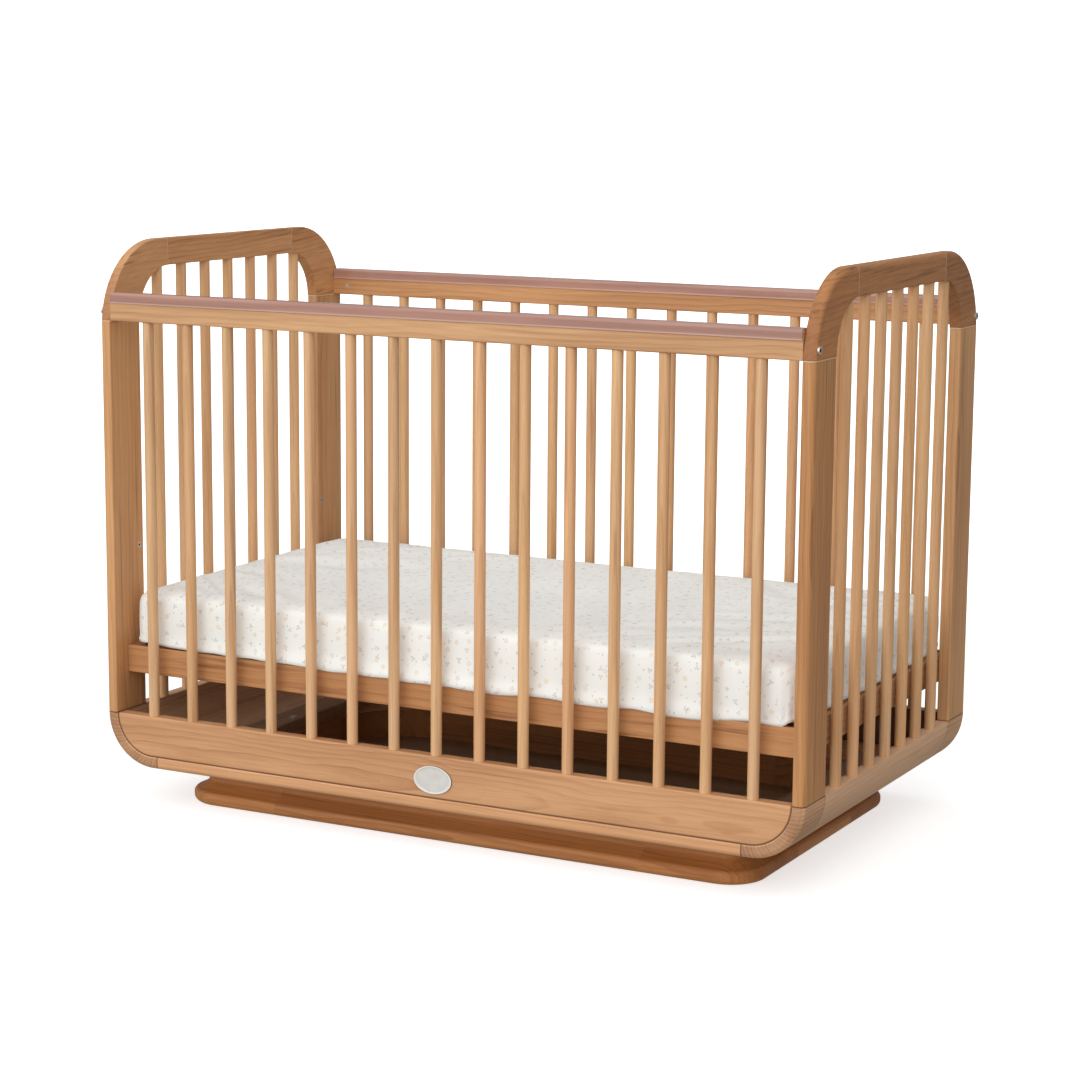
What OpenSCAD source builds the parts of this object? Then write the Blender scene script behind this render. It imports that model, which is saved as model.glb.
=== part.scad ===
// Baby crib: two arched end frames, spindle sides, a rounded lower trough on a recessed plinth,
// a height-adjustable mattress base and a mattress with a fitted sheet.
// Frame: X along the length, -Y is the front side, +Z up, origin on the floor under the middle.

/* [Overall] */
// Clear length between the inner faces of the posts
inner_length = 1330; // [1200:10:1400]
// Depth over the front and rear faces of the posts
overall_depth = 776; // [740:2:800]
// Height of the top of the end arches
overall_height = 1026; // [980:2:1080]
// Thickness of the boards of the end frames and the trough
board_t = 22; // [20:1:24]

/* [End frames] */
// Width of a post, front to back
post_width = 90; // [84:2:100]
// Outer radius of the top corner of an end arch
arch_r = 150; // [130:5:160]
// Inner radius of the top corner of an end arch
arch_inner_r = 90; // [84:2:100]
// Height of the top rail of an end arch
end_rail_h = 50; // [44:2:56]
// Radius of the soft outer edge of the end frames
soft_r = 9; // [6:1:10]
// Radius of the other edges
tight_r = 2.5; // [1:0.5:3]

/* [Sides] */
// Distance of the spindle line of a long side from the middle
side_y = 374; // [370:1:375]
// Thickness of the side rails and the side panels
side_t = 24; // [22:1:26]
// Height of the underside of the side rails
side_rail_z = 886; // [860:2:900]
// Height of a side rail with its teething guard
side_rail_h = 51; // [46:1:60]
// Wall of the teething guard
guard_wall = 2.4; // [2:0.2:3]
// Height of the teething guard
guard_h = 19; // [15:1:24]

/* [Spindles] */
// Diameter of a spindle
spindle_d = 19.5; // [18:0.5:20]
// Diameter of the round tenon at each end of a spindle
tenon_d = 12; // [10:1:14]
// Length of a tenon
tenon_l = 12; // [8:1:14]
// Spindles in a long side
side_count = 15; // [13:2:15]
// Spacing of the spindles of a long side
side_pitch = 84.5; // [80:0.5:86]
// Spindles in an end frame
end_count = 7; // [5:2:7]
// Spacing of the spindles of an end frame
end_pitch = 76.3; // [72:0.1:78]

/* [Trough and plinth] */
// Height of the plinth
plinth_h = 73; // [60:1:80]
// Height of the rounded trough above the plinth
trough_h = 97; // [90:1:110]
// Length of the straight run at the foot of a bottom corner
corner_tail = 12; // [6:1:20]
// Width of a floor board of the trough
floor_board_w = 58; // [50:1:70]
// Length of the plinth over its lip
plinth_length = 1142; // [1080:2:1160]
// Depth of the plinth over its lip
plinth_depth = 658; // [620:2:680]
// Plan radius of the plinth at its lip
plinth_corner_r = 70; // [60:2:90]
// Distance from the front of the lip in to the upright waist of the plinth
waist_in = 28; // [20:1:30]
// Height of the lip at the foot of the plinth
lip_h = 26; // [20:1:32]
// Height where the cove of the plinth meets its waist
cove_top = 39; // [34:1:46]
// Wall of the plinth behind its waist
plinth_wall = 39; // [30:1:45]
// Plan radius of the corners of the well inside the plinth
well_r = 140; // [100:5:160]

/* [Mattress] */
// Underside of the mattress base in its lower position
base_z = 240; // [220:2:260]
// Height of the rails of the mattress base
base_h = 50; // [44:2:56]
// Rise between the lower and the upper position of the base
base_rise = 205; // [180:5:230]
// Length of the mattress
mattress_length = 1304; // [1280:2:1310]
// Width of the mattress
mattress_width = 690; // [670:2:696]
// Thickness of the mattress with its sheet
mattress_h = 103; // [90:1:120]

/* [Hidden] */
$fn = 64;

half_in = inner_length / 2;
half_len = half_in + board_t;
half_dep = overall_depth / 2;
post_in_y = half_dep - post_width;
trough_top = plinth_h + trough_h;
trough_inner_r = trough_h - board_t;
arc_cx = half_len - trough_h;
corner_x = arc_cx - corner_tail;
floor_top = plinth_h + board_t;
arch_cy = half_dep - arch_r;
arch_cz = overall_height - arch_r;
rail_under = overall_height - end_rail_h;
end_rail_y = post_in_y - arch_inner_r;
end_x = half_in + board_t / 2;
side_out = side_y + side_t / 2;
side_in = side_y - side_t / 2;
rail_top = side_rail_z + side_rail_h - guard_wall;
bolt_z = side_rail_z + 17;
bolt_d = 6;
bolt_play = 0.1;
rail_bolt_bore = 50;
rail_bolt_run = 40;
hex_key = 5;
hex_floor = 1;
nut_d = 10;
nut_l = 18;
nut_bore = 20;
nut_x = half_in - 32;
tenon_gap = 0.05;
shoulder_bore = 12;
plinth_cx = plinth_length / 2 - plinth_corner_r;
plinth_cy = plinth_depth / 2 - plinth_corner_r;
waist_x = plinth_length / 2 - waist_in;
waist_y = plinth_depth / 2 - waist_in;
well_x = waist_x - plinth_wall;
well_y = waist_y - plinth_wall;
well_cx = well_x - well_r;
well_cy = well_y - well_r;
well_floor_z = 6;
well_floor_t = 12;
lip_r = 12;
lip_top_r = 10;
cove_out = waist_in - lip_top_r + 1;
cove_r = 45;
floor_bolt_in = 8;
floor_bolt_x = waist_x - floor_bolt_in;
floor_bolt_pitch = 230;
floor_bolt_run = 28;
floor_bolt_bore = 30;
head_d = 13;
head_h = 3;
insert_inset = 13;
insert_y = post_in_y + insert_inset;
insert_low_z = base_z + base_h / 2;
insert_d = 10;
insert_l = 14;
insert_hole_d = 6;
base_half_x = half_in - 1;
base_half_y = 352;
base_t = 22;
slat_t = 12;
slat_ledge = 12;
slat_w = 62;
slat_count = 11;
slat_pitch = 116;
slat_gap = 0.4;
sheet_t = 1;
mattress_r = 60;
mattress_z = base_z + base_h + 0.4;
badge_z = 128;
badge_a = 38;
badge_b = 25;
badge_t = 2.4;
badge_rim = 2.4;
badge_rim_h = 0.8;
badge_sides = 64;
wood = [0.85, 0.68, 0.51];
wood_dark = [0.72, 0.54, 0.37];
metal = [0.72, 0.72, 0.7];
plastic = [0.76, 0.6, 0.53];

// Rectangle from [x0, y0] to [x1, y1] with four corner radii, anticlockwise from [x0, y0].
module soft_rect(x0, y0, x1, y1, r) {
  difference() {
    translate([x0, y0]) square([x1 - x0, y1 - y0]);
    corner_cut(x0, y0, 1, 1, r[0]);
    corner_cut(x1, y0, -1, 1, r[1]);
    corner_cut(x1, y1, -1, -1, r[2]);
    corner_cut(x0, y1, 1, -1, r[3]);
  }
}

// The bit outside a corner round at [x, y]; sx and sy point into the rectangle.
module corner_cut(x, y, sx, sy, r) {
  if (r > 0) translate([x, y]) mirror([sx < 0 ? 1 : 0, 0]) mirror([0, sy < 0 ? 1 : 0]) difference() {
    translate([-1, -1]) square([r + 1, r + 1]);
    translate([r, r]) circle(r = r);
  }
}

// Carries a profile drawn in [y, z] along X from x0 to x1.
module along_x(x0, x1) {
  translate([x0, 0, 0]) rotate([90, 0, 90]) linear_extrude(height = x1 - x0) children();
}

// Carries a profile drawn in [x, z] along Y from y0 to y1.
module along_y(y0, y1) {
  translate([0, y1, 0]) rotate([90, 0, 0]) linear_extrude(height = y1 - y0) children();
}

// A round bar along X from x0 to x1.
module round_x(x0, x1, y, z, d) {
  translate([x0, y, z]) rotate([0, 90, 0]) cylinder(d = d, h = x1 - x0);
}

// Puts a piece drawn at the right rear into one of the four corners.
module at_corner(sx, sy) {
  mirror([sx < 0 ? 1 : 0, 0, 0]) mirror([0, sy < 0 ? 1 : 0, 0]) children();
}

// Places children at each spindle position of a long side, counted from the middle.
module each_side_spindle() {
  for (i = [0 : side_count - 1]) translate([(i - (side_count - 1) / 2) * side_pitch, 0, 0]) children();
}

// Places children at each spindle position of an end frame.
module each_end_spindle() {
  for (i = [0 : end_count - 1]) translate([0, (i - (end_count - 1) / 2) * end_pitch, 0]) children();
}

// A spindle with a round tenon at each end, standing between two heights.
module spindle(z0, z1) {
  translate([0, 0, z0]) cylinder(d = spindle_d, h = z1 - z0);
  translate([0, 0, z0 - tenon_l + 1]) cylinder(d = tenon_d, h = z1 - z0 + 2 * tenon_l - 2);
}

// A blind hole for a tenon, opening at height z; up is 1 for a hole going up and -1 for one going down.
module tenon_hole(z, up) {
  translate([0, 0, up > 0 ? z - 1 : z - tenon_l]) cylinder(d = tenon_d + 2 * tenon_gap, h = tenon_l + 1);
}

// A stepped hole going up from the end rail's underside, for a spindle that meets the curve of an arc.
module shoulder_hole() {
  tenon_hole(rail_under, 1);
  translate([0, 0, rail_under - shoulder_bore]) cylinder(d = spindle_d + 2 * tenon_gap, h = shoulder_bore);
}

// ---- Sides ----

// The side panel, set inside the rim of the trough and following its rounded lower corners.
module panel_shape() {
  difference() {
    translate([-half_in, floor_top]) square([inner_length, trough_top - floor_top]);
    for (s = [0, 1]) mirror([s, 0]) corner_cut(-half_in, floor_top, 1, 1, trough_inner_r);
  }
}

module side_panel() {
  difference() {
    along_y(side_in, side_out) panel_shape();
    each_side_spindle() translate([0, side_y, 0]) tenon_hole(trough_top, -1);
    along_x(-half_len, half_len) {
      corner_cut(side_out, trough_top, -1, -1, tight_r);
      corner_cut(side_in, trough_top, 1, -1, tight_r);
    }
  }
}

module side_top_rail() {
  difference() {
    along_x(-half_in, half_in)
      soft_rect(side_in, side_rail_z, side_out, rail_top, [tight_r, tight_r, tight_r + 1, tight_r + 1]);
    each_side_spindle() translate([0, side_y, 0]) tenon_hole(side_rail_z, 1);
    for (s = [0, 1]) mirror([s, 0, 0]) {
      round_x(half_in - rail_bolt_bore, half_in + 1, side_y, bolt_z, bolt_d + 1);
      translate([nut_x, side_in + nut_l, bolt_z]) rotate([90, 0, 0]) cylinder(d = nut_d + bolt_play, h = nut_bore);
    }
  }
}

// A clip-on cap over the top of a side rail.
module teething_guard() {
  along_x(-half_in + 1, half_in - 1) difference() {
    soft_rect(side_in - guard_wall, rail_top + guard_wall - guard_h, side_out + guard_wall,
      rail_top + guard_wall, [0.8, 0.8, tight_r + 1 + guard_wall, tight_r + 1 + guard_wall]);
    soft_rect(side_in - 0.05, rail_top - guard_h - 5, side_out + 0.05, rail_top + 0.05,
      [0, 0, tight_r + 1, tight_r + 1]);
  }
}

module side_spindles() {
  each_side_spindle() translate([0, side_y, 0]) spindle(trough_top, side_rail_z);
}

// ---- End frames ----

module post() {
  difference() {
    translate([0, 0, trough_top]) linear_extrude(height = side_rail_z - trough_top)
      soft_rect(half_in, post_in_y, half_len, half_dep, [tight_r, tight_r, soft_r, tight_r]);
    for (z = [insert_low_z, insert_low_z + base_rise])
      round_x(half_in - 1, half_in + insert_l, insert_y, z, insert_d + bolt_play);
  }
}

// The top corner of an arch: soft outer curve, tighter inner curve, rails butt against both ends.
module top_arc() {
  difference() {
    union() {
      translate([0, arch_cy, arch_cz]) rotate([90, 0, 90]) translate([0, 0, half_in])
        rotate_extrude(angle = 90) soft_rect(0, 0, arch_r, board_t, [0, tight_r, soft_r, 0]);
      along_y(end_rail_y, arch_cy)
        soft_rect(half_in, arch_cz, half_len, overall_height, [0, 0, soft_r, tight_r]);
    }
    translate([half_in - 1, end_rail_y - 1, arch_cz - 1])
      cube([board_t + 2, arch_r + post_width, side_rail_z - arch_cz + 1]);
    round_x(half_in - 1, half_len + 1, end_rail_y, side_rail_z, 2 * arch_inner_r);
    round_x(half_in - 1, half_len + 1, side_y, bolt_z, bolt_d + 2 * bolt_play);
    each_end_spindle() translate([end_x, 0, 0]) shoulder_hole();
  }
}

module end_top_rail() {
  difference() {
    along_y(-end_rail_y, end_rail_y)
      soft_rect(half_in, rail_under, half_len, overall_height, [tight_r, tight_r, soft_r, tight_r]);
    each_end_spindle() translate([end_x, 0, 0]) tenon_hole(rail_under, 1);
  }
}

module end_spindles() {
  each_end_spindle() translate([end_x, 0, 0]) spindle(trough_top, rail_under);
}

// ---- Trough ----

// A quarter ring in the XZ plane with a short straight foot, between two distances from the middle.
// The corner radii follow the profile drawn as [distance from the centre, distance along Y].
module trough_bend(y0, y1, r) {
  translate([arc_cx, y1, trough_top]) rotate([90, 0, 0]) rotate([0, 0, -90]) rotate_extrude(angle = 90)
    soft_rect(trough_inner_r, 0, trough_h, y1 - y0, [r[3], r[2], r[1], r[0]]);
  along_x(corner_x, arc_cx) soft_rect(y0, plinth_h, y1, floor_top, [r[1], r[2], r[3], r[0]]);
}

module bottom_corner() {
  trough_bend(post_in_y, half_dep, [0, 0, soft_r, tight_r]);
}

module end_board() {
  difference() {
    trough_bend(-post_in_y, post_in_y, [0, 0, 0, 0]);
    each_end_spindle() translate([end_x, 0, 0]) tenon_hole(trough_top, -1);
  }
}

module bottom_rail() {
  along_x(-corner_x, corner_x)
    soft_rect(post_in_y, plinth_h, half_dep, floor_top, [0, soft_r, tight_r, 0]);
}

module floor_board() {
  difference() {
    along_y(-post_in_y, post_in_y)
      soft_rect(corner_x - floor_board_w, plinth_h, corner_x, floor_top, [0, 0, 0, tight_r]);
    for (i = [-1 : 1]) translate([floor_bolt_x, i * floor_bolt_pitch, plinth_h - 1])
      cylinder(d = bolt_d + 2 * bolt_play, h = board_t + 2);
  }
}

// ---- Plinth ----

// Outer profile of the plinth: an upright waist, a shallow hollow cove and a rounded lip.
// The first number is the distance outwards from the waist; back is how far the wood runs inwards.
module plinth_profile(back) {
  fall = cove_top - lip_h;
  chord = norm([cove_out, fall]);
  reach = sqrt(cove_r * cove_r - chord * chord / 4);
  translate([-back, 0]) square([back, plinth_h]);
  difference() {
    translate([-1, 0]) square([waist_in + 1, lip_h]);
    corner_cut(waist_in, 0, -1, 1, lip_r);
    corner_cut(waist_in, lip_h, -1, -1, lip_top_r);
  }
  difference() {
    polygon([[-1, lip_h - 1], [cove_out - 1, lip_h - 1], [cove_out - 1, lip_h], [0, cove_top], [-1, cove_top]]);
    translate([cove_out / 2 + reach * fall / chord, lip_h + fall / 2 + reach * cove_out / chord])
      circle(r = cove_r, $fn = 160);
  }
}

// The hole that a floor bolt of the trough is driven into.
module floor_bolt_hole() {
  translate([0, 0, plinth_h - floor_bolt_bore]) cylinder(d = bolt_d + 2 * bolt_play, h = floor_bolt_bore + 1);
}

module plinth_long() {
  along_x(-well_cx, well_cx) translate([waist_y, 0]) plinth_profile(plinth_wall);
}

module plinth_short() {
  difference() {
    along_y(-well_cy, well_cy) translate([waist_x, 0]) plinth_profile(plinth_wall);
    translate([floor_bolt_x, 0, 0]) floor_bolt_hole();
  }
}

module plinth_corner() {
  turn_r = plinth_corner_r - waist_in;
  difference() {
    union() {
      translate([plinth_cx, plinth_cy, 0]) rotate_extrude(angle = 90)
        translate([turn_r, 0]) plinth_profile(turn_r);
      along_x(well_cx, plinth_cx) translate([waist_y, 0]) plinth_profile(waist_y - well_cy);
      along_y(well_cy, plinth_cy) translate([waist_x, 0]) plinth_profile(waist_x - well_cx);
    }
    translate([well_cx, well_cy, -1]) cylinder(r = well_r, h = plinth_h + 2);
    translate([floor_bolt_x, floor_bolt_pitch, 0]) floor_bolt_hole();
  }
}

module plinth_board() {
  translate([0, 0, well_floor_z]) linear_extrude(height = well_floor_t)
    soft_rect(-well_x, -well_y, well_x, well_y, [well_r, well_r, well_r, well_r]);
}

// ---- Mattress base ----

module base_long_rail() {
  along_x(-base_half_x, base_half_x) difference() {
    soft_rect(base_half_y - base_t, base_z, base_half_y, base_z + base_h, [2, 2, 2, 0]);
    translate([base_half_y - base_t - 1, base_z + base_h - slat_t - slat_gap])
      square([slat_ledge + 1, slat_t + 2]);
  }
}

module base_short_rail() {
  difference() {
    along_y(-base_half_y + base_t, base_half_y - base_t)
      soft_rect(base_half_x - base_t, base_z, base_half_x, base_z + base_h, [2, 2, 2, 2]);
    for (s = [-1, 1])
      round_x(base_half_x - base_t - 1, base_half_x + 1, s * insert_y, insert_low_z, bolt_d + 2 * bolt_play);
  }
}

module slats() {
  reach = base_half_y - base_t + slat_ledge - slat_gap;
  for (i = [0 : slat_count - 1]) translate([(i - (slat_count - 1) / 2) * slat_pitch, 0, 0])
    along_y(-reach, reach)
      soft_rect(-slat_w / 2, base_z + base_h - slat_t - slat_gap, slat_w / 2, base_z + base_h - slat_gap,
        [2, 2, 2, 2]);
}

// ---- Mattress ----

// A block with rounded plan corners; inset shrinks it on the sides and the top.
module mattress_block(inset, z0, h) {
  hx = mattress_length / 2 - inset;
  hy = mattress_width / 2 - inset;
  r = mattress_r - inset;
  translate([0, 0, z0]) linear_extrude(height = h) soft_rect(-hx, -hy, hx, hy, [r, r, r, r]);
}

// The sheet is a cap over the mattress, open below.
module sheet_cap() {
  difference() {
    mattress_block(0, mattress_z + 2, mattress_h - 2);
    mattress_block(sheet_t, mattress_z - 1, mattress_h - sheet_t + 1);
  }
}

// ---- Small parts ----

module badge_plate(a, b, h) {
  rotate([90, 0, 0]) linear_extrude(height = h)
    polygon([for (i = [0 : badge_sides - 1]) [a * cos(i * 360 / badge_sides), b * sin(i * 360 / badge_sides)]]);
}

module badge() {
  translate([0, -side_out, badge_z]) difference() {
    badge_plate(badge_a, badge_b, badge_t);
    translate([0, -badge_t + badge_rim_h, 0])
      badge_plate(badge_a - badge_rim, badge_b - badge_rim, badge_rim_h + 1);
  }
}

// A socket-head bolt along X with its head at x_head, pointing outwards.
module bolt_x(x_head, y, z, length) {
  round_x(x_head - length, x_head + 0.5, y, z, bolt_d);
  difference() {
    round_x(x_head, x_head + head_h, y, z, head_d);
    translate([x_head + hex_floor, y, z]) rotate([0, 90, 0]) cylinder(d = hex_key, h = head_h, $fn = 6);
  }
}

// The two bolts of the right end that hold the side rails.
module rail_bolt_pair() {
  for (s = [-1, 1]) bolt_x(half_len, s * side_y, bolt_z, board_t + rail_bolt_run);
}

module rail_nut_pair() {
  for (s = [0, 1]) mirror([0, s, 0]) difference() {
    translate([nut_x, side_in + nut_l, bolt_z]) rotate([90, 0, 0]) cylinder(d = nut_d, h = nut_l);
    round_x(nut_x - nut_d, nut_x + nut_d, side_y, bolt_z, bolt_d + 2 * bolt_play);
  }
}

module floor_bolt_row() {
  for (i = [-1 : 1]) translate([floor_bolt_x, i * floor_bolt_pitch, 0]) {
    translate([0, 0, floor_top]) difference() {
      cylinder(d = head_d, h = head_h);
      translate([0, 0, hex_floor]) cylinder(d = hex_key, h = head_h, $fn = 6);
    }
    translate([0, 0, plinth_h - floor_bolt_run]) cylinder(d = bolt_d, h = floor_bolt_run + board_t + 0.5);
  }
}

module insert_set() {
  for (s = [-1, 1]) for (z = [insert_low_z, insert_low_z + base_rise]) difference() {
    round_x(half_in, half_in + insert_l, s * insert_y, z, insert_d);
    round_x(half_in - 1, half_in + insert_l + 1, s * insert_y, z, insert_hole_d);
  }
}

module base_bolt_pair() {
  x_in = base_half_x - base_t;
  for (s = [-1, 1]) {
    round_x(x_in - 0.5, base_half_x, s * insert_y, insert_low_z, bolt_d);
    difference() {
      round_x(x_in - head_h, x_in, s * insert_y, insert_low_z, head_d);
      translate([x_in - head_h - hex_floor, s * insert_y, insert_low_z]) rotate([0, 90, 0])
        cylinder(d = hex_key, h = head_h, $fn = 6);
    }
  }
}

// ---- Nodes ----

module front_panel() { color(wood) mirror([0, 1, 0]) side_panel(); }
module rear_panel() { color(wood) side_panel(); }
module front_bottom_rail() { color(wood) mirror([0, 1, 0]) bottom_rail(); }
module rear_bottom_rail() { color(wood) bottom_rail(); }
module left_end_board() { color(wood) mirror([1, 0, 0]) end_board(); }
module right_end_board() { color(wood) end_board(); }
module left_floor_board() { color(wood) mirror([1, 0, 0]) floor_board(); }
module right_floor_board() { color(wood) floor_board(); }
module bottom_corner_front_left() { color(wood) at_corner(-1, -1) bottom_corner(); }
module bottom_corner_front_right() { color(wood) at_corner(1, -1) bottom_corner(); }
module bottom_corner_rear_left() { color(wood) at_corner(-1, 1) bottom_corner(); }
module bottom_corner_rear_right() { color(wood) at_corner(1, 1) bottom_corner(); }
module plinth_front() { color(wood_dark) mirror([0, 1, 0]) plinth_long(); }
module plinth_rear() { color(wood_dark) plinth_long(); }
module plinth_left() { color(wood_dark) mirror([1, 0, 0]) plinth_short(); }
module plinth_right() { color(wood_dark) plinth_short(); }
module plinth_corner_front_left() { color(wood_dark) at_corner(-1, -1) plinth_corner(); }
module plinth_corner_front_right() { color(wood_dark) at_corner(1, -1) plinth_corner(); }
module plinth_corner_rear_left() { color(wood_dark) at_corner(-1, 1) plinth_corner(); }
module plinth_corner_rear_right() { color(wood_dark) at_corner(1, 1) plinth_corner(); }
module plinth_floor() { color(wood_dark) plinth_board(); }
module post_front_left() { color(wood) at_corner(-1, -1) post(); }
module post_front_right() { color(wood) at_corner(1, -1) post(); }
module post_rear_left() { color(wood) at_corner(-1, 1) post(); }
module post_rear_right() { color(wood) at_corner(1, 1) post(); }
module top_arc_front_left() { color(wood) at_corner(-1, -1) top_arc(); }
module top_arc_front_right() { color(wood) at_corner(1, -1) top_arc(); }
module top_arc_rear_left() { color(wood) at_corner(-1, 1) top_arc(); }
module top_arc_rear_right() { color(wood) at_corner(1, 1) top_arc(); }
module left_top_rail() { color(wood) mirror([1, 0, 0]) end_top_rail(); }
module right_top_rail() { color(wood) end_top_rail(); }
module front_top_rail() { color(wood) mirror([0, 1, 0]) side_top_rail(); }
module rear_top_rail() { color(wood) side_top_rail(); }
module front_teething_guard() { color(plastic) mirror([0, 1, 0]) teething_guard(); }
module rear_teething_guard() { color(plastic) teething_guard(); }
module front_spindles() { color(wood) mirror([0, 1, 0]) side_spindles(); }
module rear_spindles() { color(wood) side_spindles(); }
module left_spindles() { color(wood) mirror([1, 0, 0]) end_spindles(); }
module right_spindles() { color(wood) end_spindles(); }
module base_front_rail() { color(wood) mirror([0, 1, 0]) base_long_rail(); }
module base_rear_rail() { color(wood) base_long_rail(); }
module base_left_rail() { color(wood) mirror([1, 0, 0]) base_short_rail(); }
module base_right_rail() { color(wood) base_short_rail(); }
module base_slats() { color(wood) slats(); }
module mattress_core() { color([0.9, 0.9, 0.88]) mattress_block(sheet_t, mattress_z, mattress_h - sheet_t); }
module fitted_sheet() { color([0.95, 0.93, 0.9]) sheet_cap(); }
module oval_badge() { color([0.82, 0.81, 0.77]) badge(); }
module rail_bolts() { color(metal) for (s = [0, 1]) mirror([s, 0, 0]) rail_bolt_pair(); }
module rail_barrel_nuts() { color(metal) for (s = [0, 1]) mirror([s, 0, 0]) rail_nut_pair(); }
module floor_bolts() { color(metal) for (s = [0, 1]) mirror([s, 0, 0]) floor_bolt_row(); }
module post_inserts() { color(metal) for (s = [0, 1]) mirror([s, 0, 0]) insert_set(); }
module base_bolts() { color(metal) for (s = [0, 1]) mirror([s, 0, 0]) base_bolt_pair(); }

front_panel();
rear_panel();
front_bottom_rail();
rear_bottom_rail();
left_end_board();
right_end_board();
left_floor_board();
right_floor_board();
bottom_corner_front_left();
bottom_corner_front_right();
bottom_corner_rear_left();
bottom_corner_rear_right();
plinth_front();
plinth_rear();
plinth_left();
plinth_right();
plinth_corner_front_left();
plinth_corner_front_right();
plinth_corner_rear_left();
plinth_corner_rear_right();
plinth_floor();
post_front_left();
post_front_right();
post_rear_left();
post_rear_right();
top_arc_front_left();
top_arc_front_right();
top_arc_rear_left();
top_arc_rear_right();
left_top_rail();
right_top_rail();
front_top_rail();
rear_top_rail();
front_teething_guard();
rear_teething_guard();
front_spindles();
rear_spindles();
left_spindles();
right_spindles();
base_front_rail();
base_rear_rail();
base_left_rail();
base_right_rail();
base_slats();
mattress_core();
fitted_sheet();
oval_badge();
rail_bolts();
rail_barrel_nuts();
floor_bolts();
post_inserts();
base_bolts();
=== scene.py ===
"""Looks of the baby crib: pine boards, plastic guards, steel bolts and a mattress in a printed sheet.

Every board has its own cut of pine, worked out from growth rings round a pith that lies beside the board.
The mattress and its sheet are the only soft pieces; both are relaxed as cloth and ride on the mattress body.
"""

import math

import bpy
import numpy as np
from mathutils import Euler, Matrix, Vector


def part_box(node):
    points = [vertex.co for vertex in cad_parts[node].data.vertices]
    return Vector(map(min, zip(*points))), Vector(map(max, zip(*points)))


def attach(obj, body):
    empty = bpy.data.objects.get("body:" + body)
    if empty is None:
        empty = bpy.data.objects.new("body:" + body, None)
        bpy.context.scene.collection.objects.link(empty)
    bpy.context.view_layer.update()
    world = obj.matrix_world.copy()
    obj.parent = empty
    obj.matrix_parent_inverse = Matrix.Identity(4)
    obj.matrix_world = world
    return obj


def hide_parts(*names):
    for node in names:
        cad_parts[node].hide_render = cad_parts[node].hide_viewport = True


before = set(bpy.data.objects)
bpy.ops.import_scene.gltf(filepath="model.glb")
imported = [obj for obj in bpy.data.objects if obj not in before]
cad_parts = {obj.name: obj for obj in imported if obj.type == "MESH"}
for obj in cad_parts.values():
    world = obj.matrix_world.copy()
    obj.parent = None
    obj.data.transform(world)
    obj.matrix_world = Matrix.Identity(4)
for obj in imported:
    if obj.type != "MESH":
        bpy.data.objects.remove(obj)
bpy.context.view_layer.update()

# ---- Sizes, in metres ----

SIDE_SPINDLE_PITCH = 0.0845
END_SPINDLE_PITCH = 0.0763
SLAT_PITCH = 0.116
ARCH_JOINT_Z = 0.886
ARCH_JOINT_Y = 0.208
TROUGH_TOP = 0.170
TROUGH_TAIL_X = 0.578
POST_INNER_Y = 0.298
TROUGH_ARC_X = 0.590
TROUGH_INNER_R = 0.075
TROUGH_OUTER_R = 0.090
RAIL_BOLT_Y = 0.374
RAIL_BOLT_Z = 0.903
BOLT_HEX_R = 0.0036
BADGE_Z = 0.128
BADGE_HALF = (0.038, 0.025)
BADGE_BACK_Y = -0.386
BADGE_FRONT_Y = -0.3883
BADGE_TURNS = 96
GUARD_LOW_Z = 0.918
THREAD_PITCH = 0.0011
QUILT_PITCH = 0.06

# ---- Colours ----


def tone(red, green, blue):
    """A display colour from 0 to 255 turned into a linear one."""
    part = np.array([red, green, blue], float) / 255
    linear = np.where(part <= 0.04045, part / 12.92, ((part + 0.055) / 1.055) ** 2.4)
    return (*[float(value) for value in linear], 1.0)


# ---- Node helpers ----


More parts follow.
